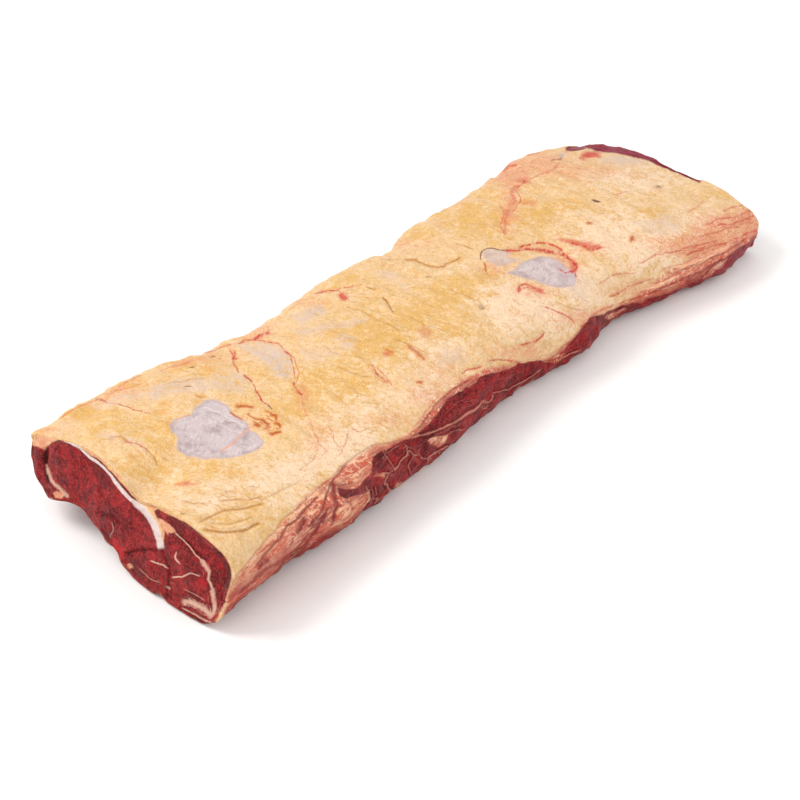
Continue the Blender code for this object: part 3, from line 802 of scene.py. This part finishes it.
def side_marks(points, normals):
    """Fields on the fat and the open sides: from the picture where the camera sees them, else from noise."""
    pixels = warped(picture_places(points), points, SIDE_SWAY)
    seen = smooth_step(*SEEN_RANGE, normals @ camera_axes()[2])
    marks = mark_fields(pixels, SIDE_LINES, SIDE_AREAS, seen)
    for name, places in SIDE_TINTS:
        marks[name] = cover(pixels, places) * seen
    marks["seen"] = seen
    # How near the floor a point is, for the foot's painted shade and redness
    marks["foot"] = smooth_step(*FOOT_SHADE_HEIGHTS, points[:, 2])
    marks["flank"] = smooth_step(*FLANK_RANGE, marks["flank_inside"]) * seen
    marks["lean_inside"] = mixed(hidden_lean(points), marks["lean_inside"], seen)
    return marks


def hidden_lean(points):
    """How far inside the bare lean a point of an unseen side is, in pixels as in area_field."""
    share = (points[:, 0] + LENGTH / 2) / LENGTH
    below = (curve(CHINE_RIM, share) - points[:, 2]) * HIDDEN_SCALE
    from_far = curve(FAR_FACE, points[:, 1]) - points[:, 0]
    far_rim = (FAR_RIM - from_far) * FAR_RIM_SCALE * smooth_step(*FAR_RIM_START, points[:, 1])
    return np.maximum(below + lumps(points, HIDDEN_RIM_LUMPS), far_rim)


def face_marks(points, near, face):
    """Fields on a cut face: from the picture on the near one, none on the far one."""
    pixels = warped(picture_places(points), points, FACE_SWAY)
    marks = mark_fields(pixels, FACE_LINES, FACE_AREAS, near)
    marks["seen"] = np.full(len(points), float(near))
    marks["face"] = np.full(len(points), float(face or near))
    marks["lean_inside"] = np.full(len(points), DEEP_INSIDE) if face else area_field(pixels, OPEN_LEAN)[0]
    marks["purple"] = cover(pixels, PURPLE)
    return marks


def grooves(marks, table):
    """Depth of the grooves along marks, each deepest on its line."""
    return sum(depth * marks[name + "_strength"] * smooth_step(reach, 0, np.abs(marks[name + "_offset"]))
               for name, depth, reach in table)


def side_relief(points, marks):
    """Height of the relief on the fat and the open sides."""
    x, y, z = points.T
    edge = smooth_step(*EDGE_START, y) * smooth_step(*EDGE_END, y) * smooth_step(*EDGE_HEIGHTS, z)
    membrane = marks["membrane_strength"] * smooth_step(*MEMBRANE_RANGE, marks["membrane_inside"])
    lean = smooth_step(*LEAN_RANGE, marks["lean_inside"])
    height = lumps(points, FAT_LUMPS) + edge * lumps(points, EDGE_LUMPS)
    height += membrane * (lumps(points, MEMBRANE_LUMPS) - MEMBRANE_SINK)
    height += lean * (lumps(points, LEAN_LUMPS) - LEAN_SINK)
    height -= grooves(marks, SIDE_GROOVES)
    return np.maximum(height, DEEPEST * mixed(NEAR_SHARE, 1, smooth_step(*NEAR_REACH, x)))


def face_relief(points, marks):
    """Height of the relief on the cut faces."""
    return lumps(points, FACE_LUMPS) - grooves(marks, FACE_GROOVES)


def frayed_foot(side):
    """Lowest height of the foot of the loin: 0, but ragged where the near face meets the underside."""
    from_face = side[..., 0] - near_face(side[..., 1], side[..., 2])
    ragged = np.maximum(lumps(side, FOOT_LUMPS) + FRAY_RAISE, 0)
    return smooth_step(*FRAY_REACH, from_face) * FRAY * ragged


class Shell:
    """A mesh in the making: points, their marks and the faces between them."""

    def __init__(self):
        self.points = []
        self.marks = []
        self.faces = []
        self.count = 0

    def add(self, grid, marks):
        """Adds a grid of points and returns the number of each."""
        numbers = self.count + np.arange(grid.shape[0] * grid.shape[1]).reshape(grid.shape[:2])
        self.points.append(grid.reshape(-1, 3))
        self.marks.append(marks)
        self.count += numbers.size
        return numbers

    def fill(self, numbers):
        """Faces between the neighbouring points of a grid."""
        corners = np.stack([numbers[:-1, :-1], numbers[:-1, 1:], numbers[1:, 1:], numbers[1:, :-1]], axis=-1)
        self.faces += corners.reshape(-1, 4).tolist()

    def stitch(self, long_row, short_row):
        """Triangles between two rows with the same ends and different numbers of points."""
        here, there = 0, 0
        while here < len(long_row) - 1 or there < len(short_row) - 1:
            next_here = (here + 1) / (len(long_row) - 1)
            next_there = (there + 1) / (len(short_row) - 1)
            if next_here <= next_there:
                corners = (long_row[here], long_row[here + 1], short_row[there])
                here += 1
            else:
                corners = (long_row[here], short_row[there + 1], short_row[there])
                there += 1
            if len(set(corners)) == 3:
                self.faces.append([int(corner) for corner in corners])

    def piece(self, name, shift, material):
        """Closed mesh object of the faces, moved by a shift, with every mark kept on its points."""
        data = bpy.data.meshes.new(name)
        data.from_pydata((np.concatenate(self.points) + shift).tolist(), [], self.faces)
        for mark in sorted({key for marks in self.marks for key in marks}):
            empty = FAR_AWAY if mark.endswith("offset") else 0.0
            values = [marks.get(mark, np.full(len(grid), empty))
                      for marks, grid in zip(self.marks, self.points)]
            store = data.attributes.new(mark, "FLOAT", "POINT")
            store.data.foreach_set("value", np.concatenate(values).astype(np.float32))
        made = bmesh.new()
        made.from_mesh(data)
        bmesh.ops.dissolve_degenerate(made, edges=made.edges, dist=1e-6)
        bmesh.ops.recalc_face_normals(made, faces=made.faces)
        made.to_mesh(data)
        made.free()
        data.shade_smooth()
        data.materials.append(material)
        piece = bpy.data.objects.new(name, data)
        bpy.context.scene.collection.objects.link(piece)
        return piece


def cut_end(side, hidden, station, rows, face):
    """Cut face at the first or last station, from the hidden side to the outside, with its marks."""
    parts = np.arange(rows)[:, None, None] / rows
    flat_rows = hidden[station][None] + parts * (side[station][None, :, 1:] - hidden[station][None])
    y, z = flat_rows[..., 0], flat_rows[..., 1]
    near = station == 0
    end = np.stack([near_face(y, z) if near else curve(FAR_FACE, y), y, z], axis=-1)
    points = end.reshape(-1, 3)
    relief = face_relief(points, face_marks(points, near, face)).reshape(end.shape[:2])
    steps = np.arange(rows)
    fade = np.minimum(1, np.minimum(steps, rows - steps) / 3)[:, None]
    end[..., 0] += relief * fade * (-1 if near else 1)
    return end, face_marks(end.reshape(-1, 3), near, face)


def closed_piece(name, outside, hidden, shares, end_rows, face, shift, material):
    """One closed piece: its outside with relief, its two cut ends, and the plain side that nothing shows."""
    side = on_loin(outside, shares)
    normals = grid_normals(side)
    flat_normals = normals.reshape(-1, 3)
    points = side.reshape(-1, 3)
    height = side_relief(points, side_marks(points, flat_normals)).reshape(side.shape[:2])
    columns = np.arange(side.shape[1])
    calm = smooth_step(0, CALM_COLUMNS, np.minimum(columns, columns[::-1]))
    side = side + normals * (height * calm)[..., None]
    side[..., 2] = np.maximum(side[..., 2], frayed_foot(side))
    shell = Shell()
    side_numbers = shell.add(side, side_marks(side.reshape(-1, 3), flat_normals))
    near_rows, far_rows = end_rows
    near_numbers = shell.add(*cut_end(side, hidden, 0, near_rows, face))
    far_numbers = shell.add(*cut_end(side, hidden, -1, far_rows, face))
    outside_numbers = np.concatenate([near_numbers, side_numbers, far_numbers[::-1]])
    stations = np.linspace(2, len(shares) - 3, HIDDEN_ROWS).astype(int)
    inner = shell.add(on_loin(hidden[stations], shares[stations]), {})
    inner_numbers = np.concatenate([outside_numbers[:1], inner, outside_numbers[-1:]])
    shell.fill(outside_numbers)
    shell.fill(inner_numbers)
    for column in (0, -1):
        shell.stitch(outside_numbers[:, column], inner_numbers[:, column])
    return shell.piece(name, shift, material)


class Graph:
    """Material of nodes, built by short calls that return sockets."""

    def __init__(self, name):
        self.material = bpy.data.materials.new(name)
        self.material.use_nodes = True
        self.tree = self.material.node_tree
        self.shader = self.tree.nodes["Principled BSDF"]
        self.place = self.tree.nodes.new("ShaderNodeTexCoord").outputs["Object"]

    def wire(self, socket, value):
        if isinstance(value, bpy.types.NodeSocket):
            self.tree.links.new(value, socket)
        elif isinstance(value, tuple) and len(socket.default_value) == 4:
            socket.default_value = (*value, 1)
        else:
            socket.default_value = value

    def mark(self, name):
        node = self.tree.nodes.new("ShaderNodeAttribute")
        node.attribute_name = name
        return node.outputs["Fac"]

    def maths(self, operation, *values):
        node = self.tree.nodes.new("ShaderNodeMath")
        node.operation = operation
        for socket, value in zip(node.inputs, values):
            self.wire(socket, value)
        return node.outputs[0]

    def add(self, *values):
        total = values[0]
        for value in values[1:]:
            total = self.maths("ADD", total, value)
        return total

    def times(self, *values):
        total = values[0]
        for value in values[1:]:
            total = self.maths("MULTIPLY", total, value)
        return total

    def swing(self, value, reach):
        """A noise between 0 and 1 as a swing to both sides of 0."""
        return self.times(self.add(value, -.5), reach)

    def step(self, low, high, value):
        """Smooth rise of a value from 0 at one place to 1 at another."""
        node = self.tree.nodes.new("ShaderNodeMapRange")
        node.interpolation_type = "SMOOTHSTEP"
        node.inputs["From Min"].default_value = low
        node.inputs["From Max"].default_value = high
        self.wire(node.inputs["Value"], value)
        return node.outputs["Result"]

    def thread(self, wide, narrow, value):
        """Thin lines where a noise passes through its middle value."""
        return self.step(wide, narrow, self.maths("ABSOLUTE", self.add(value, -.5)))

    def mix(self, share, first, second):
        node = self.tree.nodes.new("ShaderNodeMix")
        node.data_type = "RGBA"
        self.wire(node.inputs["Factor"], share)
        self.wire(node.inputs[6], first)
        self.wire(node.inputs[7], second)
        return node.outputs[2]

    def noise(self, size, detail=3.0, rough=.55, stretch=PLAIN, turn=0.0, twist=0.0):
        """Noise with lumps of a given size in metres, between about 0 and 1."""
        lay = self.tree.nodes.new("ShaderNodeMapping")
        lay.vector_type = "TEXTURE"
        lay.inputs["Rotation"].default_value = (0, 0, turn)
        lay.inputs["Scale"].default_value = tuple(size * reach for reach in stretch)
        self.wire(lay.inputs["Vector"], self.place)
        node = self.tree.nodes.new("ShaderNodeTexNoise")
        self.wire(node.inputs["Vector"], lay.outputs["Vector"])
        node.inputs["Scale"].default_value = 1
        node.inputs["Detail"].default_value = detail
        node.inputs["Roughness"].default_value = rough
        node.inputs["Distortion"].default_value = twist
        return node.outputs["Fac"]

    def line(self, name, soft, wobble):
        """1 on the lines of a mark and 0 beside them, from its offset in half widths."""
        offset = self.maths("ABSOLUTE", self.add(self.mark(name + "_offset"), wobble))
        return self.times(self.step(1 + soft, 1 - soft, offset), self.mark(name + "_strength"))

    def beside(self, name, far, near):
        """1 on the lines of a mark, falling to 0 beside them over a few half widths."""
        offset = self.maths("ABSOLUTE", self.mark(name + "_offset"))
        return self.times(self.step(far, near, offset), self.mark(name + "_strength"))

    def area(self, name, soft, wobble):
        """1 inside the outlines of a mark and 0 outside them."""
        inside = self.step(-soft, soft, self.add(self.mark(name + "_inside"), wobble))
        return self.times(inside, self.mark(name + "_strength"))


class Coat:
    """A colour built up in layers, each laid over the ones before by the product of its shares."""

    def __init__(self, graph, base):
        self.graph = graph
        self.base = base

    def lay(self, tint, *shares):
        self.base = self.graph.mix(self.graph.times(*shares), self.base, tint)


def meat(name, gloss, glow):
    """The finish of the whole loin, painted by the marks on the points: fat, lean, membrane and stains."""
    g = Graph(name)
    noises = {key: g.noise(*settings) for key, settings in NOISES.items()}
    broad, cloud, fibre, cross, fine, stroke, strand, grain = (
        noises[key] for key in ("broad", "cloud", "fibre", "cross", "fine", "stroke", "strand", "grain"))
    wobble = g.swing(cloud, 4.0)
    ragged = g.swing(fibre, 3.4)
    sway = g.swing(fine, 2.2)
    unlike = g.maths("SUBTRACT", 1.0, g.mark("seen"))
    off_face = g.maths("SUBTRACT", 1.0, g.mark("face"))

    # Fat of the upper side: cream, more golden or paler by place, in clouds and in strokes across the loin
    golden = g.add(g.mark("golden"), g.swing(broad, 2.2), g.swing(stroke, 3.0))
    fat = Coat(g, g.mix(g.step(.05, .80, golden), FAT_CREAM, FAT_GOLD))
    fat.lay(FAT_GOLD, g.step(.50, .62, fibre), .40)
    # Paler by place, and also where the cross noise that raises the bump is high: there it is partly a
    # painted highlight on the crests
    fat.lay(FAT_PALE, g.step(.05, .9, g.add(g.mark("pale"), g.swing(cross, 2.6), g.swing(cloud, -2.4))), .85)
    peach = g.add(g.mark("peach"), g.times(g.step(.54, .70, broad), .2), g.swing(stroke, 2.6))
    fat.lay(FAT_PEACH, g.step(.2, 1.1, peach), .75)
    fat.lay(FAT_PINK, g.add(g.mark("peach"), .05), g.thread(.035, .008, noises["scribble"]), .75)
    # Golden-brown wrinkle lines in patches: partly painted shade of fine creases that the relief doesn't
    # have
    fat.lay(CREASE_GOLD_AND_SHADE, g.thread(.016, .003, noises["wrinkle"]), g.step(.44, .60, cloud), .55)
    # Grain and tone of the fat, with painted shade in the bump's hollows and painted highlight specks
    for key, low, high, power, tint in FAT_GRAIN_SHADE_AND_HIGHLIGHTS:
        fat.lay(tint, g.step(low, high, noises[key]), power)

    # Fat of the flank: ribbons of cream between dull red folds along the loin, maroon below thin fat, and a
    # foot that turns darker and redder towards the floor, the darkening being painted shade
    flank = g.mark("flank")
    foot = g.mark("foot")
    # Towards the floor the ribbons thin and the red layers widen: painted shade, with redder flesh
    ribbon = g.step(.42, .54, g.add(strand, g.times(foot, -.05)))
    flank_fat = Coat(g, g.mix(ribbon, FLANK_FLESH, FLANK_CREAM))
    flank_fat.lay(FLANK_RED, g.step(.54, .64, g.add(noises["layer"], g.times(foot, .22))), .60)
    flank_fat.lay(FLANK_PALE, g.step(.52, .60, cross), .75)
    flank_fat.lay(FLANK_RED, g.thread(.022, .005, strand), .80)
    fat.lay(flank_fat.base, flank)
    fat.lay(MAROON_RED, g.area("maroon", 2.0, g.times(ragged, 2.2)), g.step(.35, .55, fibre), .95)
    lowest = g.step(-9.0, -2.0, g.add(g.mark("lean_inside"), ragged))
    fat.lay(FLANK_RED, lowest, flank, g.step(.46, .56, strand), .75)
    # Maroon near the floor and darker red patches at the foot: painted shade, with redder flesh
    fat.lay(MAROON_RED, foot, flank, g.step(.38, .54, cross), .80)
    fat.lay(FLANK_RED, g.mark("dusk"), flank, g.step(.36, .52, strand), .90)

    # Thin grey membrane over the lean, with pale lines and an orange thread
    skin = Coat(g, g.mix(g.step(.30, .56, cloud), MEMBRANE_DARK, MEMBRANE))
    skin.lay(MEMBRANE_PALE, g.step(.50, .60, fibre), .35)
    bare = g.area("membrane", 1.5, g.add(wobble, sway))
    from_rim = g.maths("ABSOLUTE", g.add(g.mark("membrane_inside"), wobble, sway))
    skin.lay(MEMBRANE_DARK, g.step(3.2, .2, from_rim), bare, .5)
    dimmed = g.area("haze", 4.5, g.add(g.times(wobble, 1.3), g.times(ragged, 1.2)))
    fat.lay(HAZE, dimmed, g.step(.66, .46, stroke), .85)
    fat.lay(skin.base, bare, .95)
    fat.lay(MEMBRANE_PALE, g.line("gleam", .9, sway), .75)
    fat.lay(FAT_PEACH, g.line("thread", .9, sway), .8)

    # Veins, creases, stains and small dark flecks
    # Golden crease lines, darkened in part with painted shade
    fat.lay(CREASE_GOLD_AND_SHADE, g.line("crease", .9, g.times(g.add(sway, ragged), .6)), g.add(.30, stroke))
    fat.lay(FAT_PINK, g.beside("vein", 5.0, .5), g.step(.45, .60, cloud), .45)
    broken = g.add(.35, g.times(g.step(.42, .52, fibre), .6))
    fat.lay(VEIN, g.line("vein", .8, g.times(sway, 1.5)), broken)
    fat.lay(BLOOD_RED, g.line("tear", .9, g.times(sway, 2.0)), broken)
    blood = g.area("blood", 2.4, g.add(g.times(wobble, .9), g.times(ragged, 1.4)))
    fat.lay(BLOOD_RED, blood, g.add(.35, cross))
    fat.lay(STAIN_PALE, g.beside("stain", 4.2, .8), g.step(.36, .58, cross), .42)
    fat.lay(STAIN, g.line("stain", .8, g.times(g.add(sway, ragged), .75)), .95)
    fat.lay(DARK_FLECK, g.line("fleck", .6, sway), .9)
    fat.lay(STRIP_RED, g.line("fold", .9, ragged), .75)
    fat.lay(STRIP_RED, g.line("strip", .9, g.times(ragged, .6)), g.add(.45, cloud), .9)

    # Lean: fine grain, darker and brighter patches, and seams and fat of its own where the photograph
    # doesn't show it
    lean = Coat(g, g.mix(g.step(.44, .57, grain), LEAN_DARK, LEAN))
    # Grain and tone of the lean, with painted highlight specks
    for key, low, high, power, tint in LEAN_GRAIN_AND_GLINTS:
        lean.lay(tint, g.step(low, high, noises[key]), power)
    lean.lay(LEAN_PURPLE, g.mark("purple"), g.step(.30, .52, fibre), .85)
    lean.lay(g.mix(g.step(.42, .58, strand), FLANK_CREAM, MEMBRANE_DARK),
             g.step(.55, .64, noises["patch"]), unlike, off_face, .85)
    lean.lay(SEAM, g.thread(.012, .003, noises["marble"]), unlike, g.step(.46, .60, cloud), .7)
    side_lean = Coat(g, lean.base)
    # Painted shade: the lean darkened along both sides of each seam, over its groove
    side_lean.lay(LEAN_DARK, g.beside("seam", 3.6, 1.2), .60)
    side_lean.lay(SEAM_PINK, g.line("seam", .8, g.times(sway, 1.4)), g.add(.30, g.times(cloud, .9)))
    side_lean.lay(flank_fat.base, g.area("fatbit", 1.2, ragged), .95)
    open_lean = g.step(-.9, .9, g.add(g.mark("lean_inside"), g.times(ragged, .7)))
    side = g.mix(open_lean, fat.base, side_lean.base)

    # Cut faces: muscle, then seams, silverskin and bits of fat
    ripple = g.times(sway, .7)
    face_fat = g.mix(g.step(.4, .6, fibre), FACE_FAT, FAT_PEACH)
    muscle = g.mix(g.area("muscle", .8, ripple), face_fat, lean.base)
    cut = Coat(g, g.mix(unlike, muscle, lean.base))
    # Painted shade: a near-black line down each cleft of the cut face
    cut.lay(LEAN_BLACK, g.line("cleft", .9, sway), .9)
    uneven = g.add(.55, g.times(cloud, .7))
    cut.lay(SEAM, g.line("cut", .8, g.times(g.add(sway, ragged), .8)), uneven, .92)
    cut.lay(SILVER, g.line("silver", .35, g.times(sway, .4)), .95)
    cut.lay(g.mix(g.step(.4, .6, cross), FAT_PEACH, FLANK_CREAM), g.area("facefat", .9, ripple), .9)
    cut.lay(RAW_RED, g.area("raw", 1.6, g.times(ragged, 1.6)), g.step(.36, .56, fibre), .9)
    g.wire(g.shader.inputs["Base Color"], g.mix(g.mark("face"), side, cut.base))

    # Lean and membrane are wetter than fat
    lean_share = g.maths("MAXIMUM", g.mark("face"), open_lean)
    rough = g.add(.52, g.times(bare, -.22), g.times(lean_share, -.14), g.swing(fine, .30))
    g.wire(g.shader.inputs["Roughness"], rough)
    relief = g.add(*(g.times(noises[key], share) for key, share in BUMPS), g.times(grain, lean_share, .9),
                   g.times(noises["scribble"], .5), g.times(strand, flank, .8))
    bump = g.tree.nodes.new("ShaderNodeBump")
    bump.inputs["Distance"].default_value = BUMP_HEIGHT
    bump.inputs["Strength"].default_value = 1
    g.wire(bump.inputs["Height"], relief)
    g.wire(g.shader.inputs["Normal"], bump.outputs["Normal"])
    g.shader.inputs["Specular IOR Level"].default_value = gloss
    g.shader.inputs["Subsurface Weight"].default_value = glow
    g.shader.inputs["Subsurface Radius"].default_value = GLOW_COLOURS
    g.shader.inputs["Subsurface Scale"].default_value = GLOW_DEPTH
    return g.material


def floor_finish():
    """Pale matt floor with a faint unevenness."""
    g = Graph("floor")
    g.wire(g.shader.inputs["Base Color"], g.mix(g.noise(.4), FLOOR_PALE, FLOOR_WHITE))
    g.wire(g.shader.inputs["Roughness"], g.step(-1.5, 1.5, g.noise(.02)))
    return g.material


def soft_light(name, place, size, power, tint):
    """Square area light at a place, aimed at the middle of the loin."""
    data = bpy.data.lights.new(name, "AREA")
    data.size = size
    data.energy = power
    data.color = tint
    lamp = bpy.data.objects.new(name, data)
    lamp.location = place
    lamp.rotation_euler = Vector(place).to_track_quat("Z", "Y").to_euler()
    bpy.context.scene.collection.objects.link(lamp)


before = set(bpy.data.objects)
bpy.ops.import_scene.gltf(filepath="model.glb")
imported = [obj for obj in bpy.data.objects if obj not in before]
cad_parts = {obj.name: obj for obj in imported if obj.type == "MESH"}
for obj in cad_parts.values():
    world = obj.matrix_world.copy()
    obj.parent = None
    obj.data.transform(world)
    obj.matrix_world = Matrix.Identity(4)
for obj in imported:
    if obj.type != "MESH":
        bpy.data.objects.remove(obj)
cad_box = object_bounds()
shares = end_shares()
fat_outside, fat_inside, lean_bed, lean_open = loin_arcs(shares)

# The drawing frame of the loin is moved so that its box has the middle and the foot of the CAD's
drawn = np.concatenate([on_loin(rows, shares).reshape(-1, 3) for rows in (fat_outside, lean_open)])
drawn_middle = (drawn.min(axis=0) + drawn.max(axis=0)) / 2
cad_low, cad_high = (np.array(corner) for corner in cad_box)
shift = np.array([*((cad_low + cad_high) / 2 - drawn_middle)[:2], cad_low[2] - drawn[:, 2].min()])

fat = closed_piece("fat_piece", fat_outside, fat_inside, shares, (FAT_ROWS, FAT_ROWS), False, shift,
                   meat("fat", FAT_GLOSS, FAT_GLOW))
lean = closed_piece("lean_piece", lean_open, lean_bed, shares, (FACE_ROWS, FAR_ROWS), True, shift,
                    meat("lean", LEAN_GLOSS, LEAN_GLOW))
for piece, node, slot in ((fat, "fat_cap", "fat"), (lean, "lean", "lean")):
    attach(piece, "root")
    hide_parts(node)

# Camera, floor and light
right, up, back = camera_axes()
camera_data = bpy.data.cameras.new("camera")
camera_data.sensor_width = SENSOR_MM
camera_data.lens = FOCAL_PX / PICTURE_PX * SENSOR_MM
camera_data.clip_end = CAMERA_REACH
camera = bpy.data.objects.new("camera", camera_data)
bpy.context.scene.collection.objects.link(camera)
turn = Matrix([right, up, back]).transposed().to_4x4()
camera.matrix_world = Matrix.Translation(Vector(CAMERA_AIM + shift + back * CAMERA_DISTANCE)) @ turn
bpy.context.scene.camera = camera

bpy.ops.mesh.primitive_plane_add(size=FLOOR_SIZE, location=(0, 0, cad_low[2] - FLOOR_DROP))
floor = bpy.context.object
floor.name = "floor"
floor.data.materials.append(floor_finish())

for light in LIGHTS:
    soft_light(*light)
world = bpy.data.worlds.new("studio")
world.use_nodes = True
world.node_tree.nodes["Background"].inputs["Color"].default_value = (1, 1, 1, 1)
world.node_tree.nodes["Background"].inputs["Strength"].default_value = WORLD_LIGHT
bpy.context.scene.world = world
bpy.context.scene.view_settings.view_transform = "Standard"
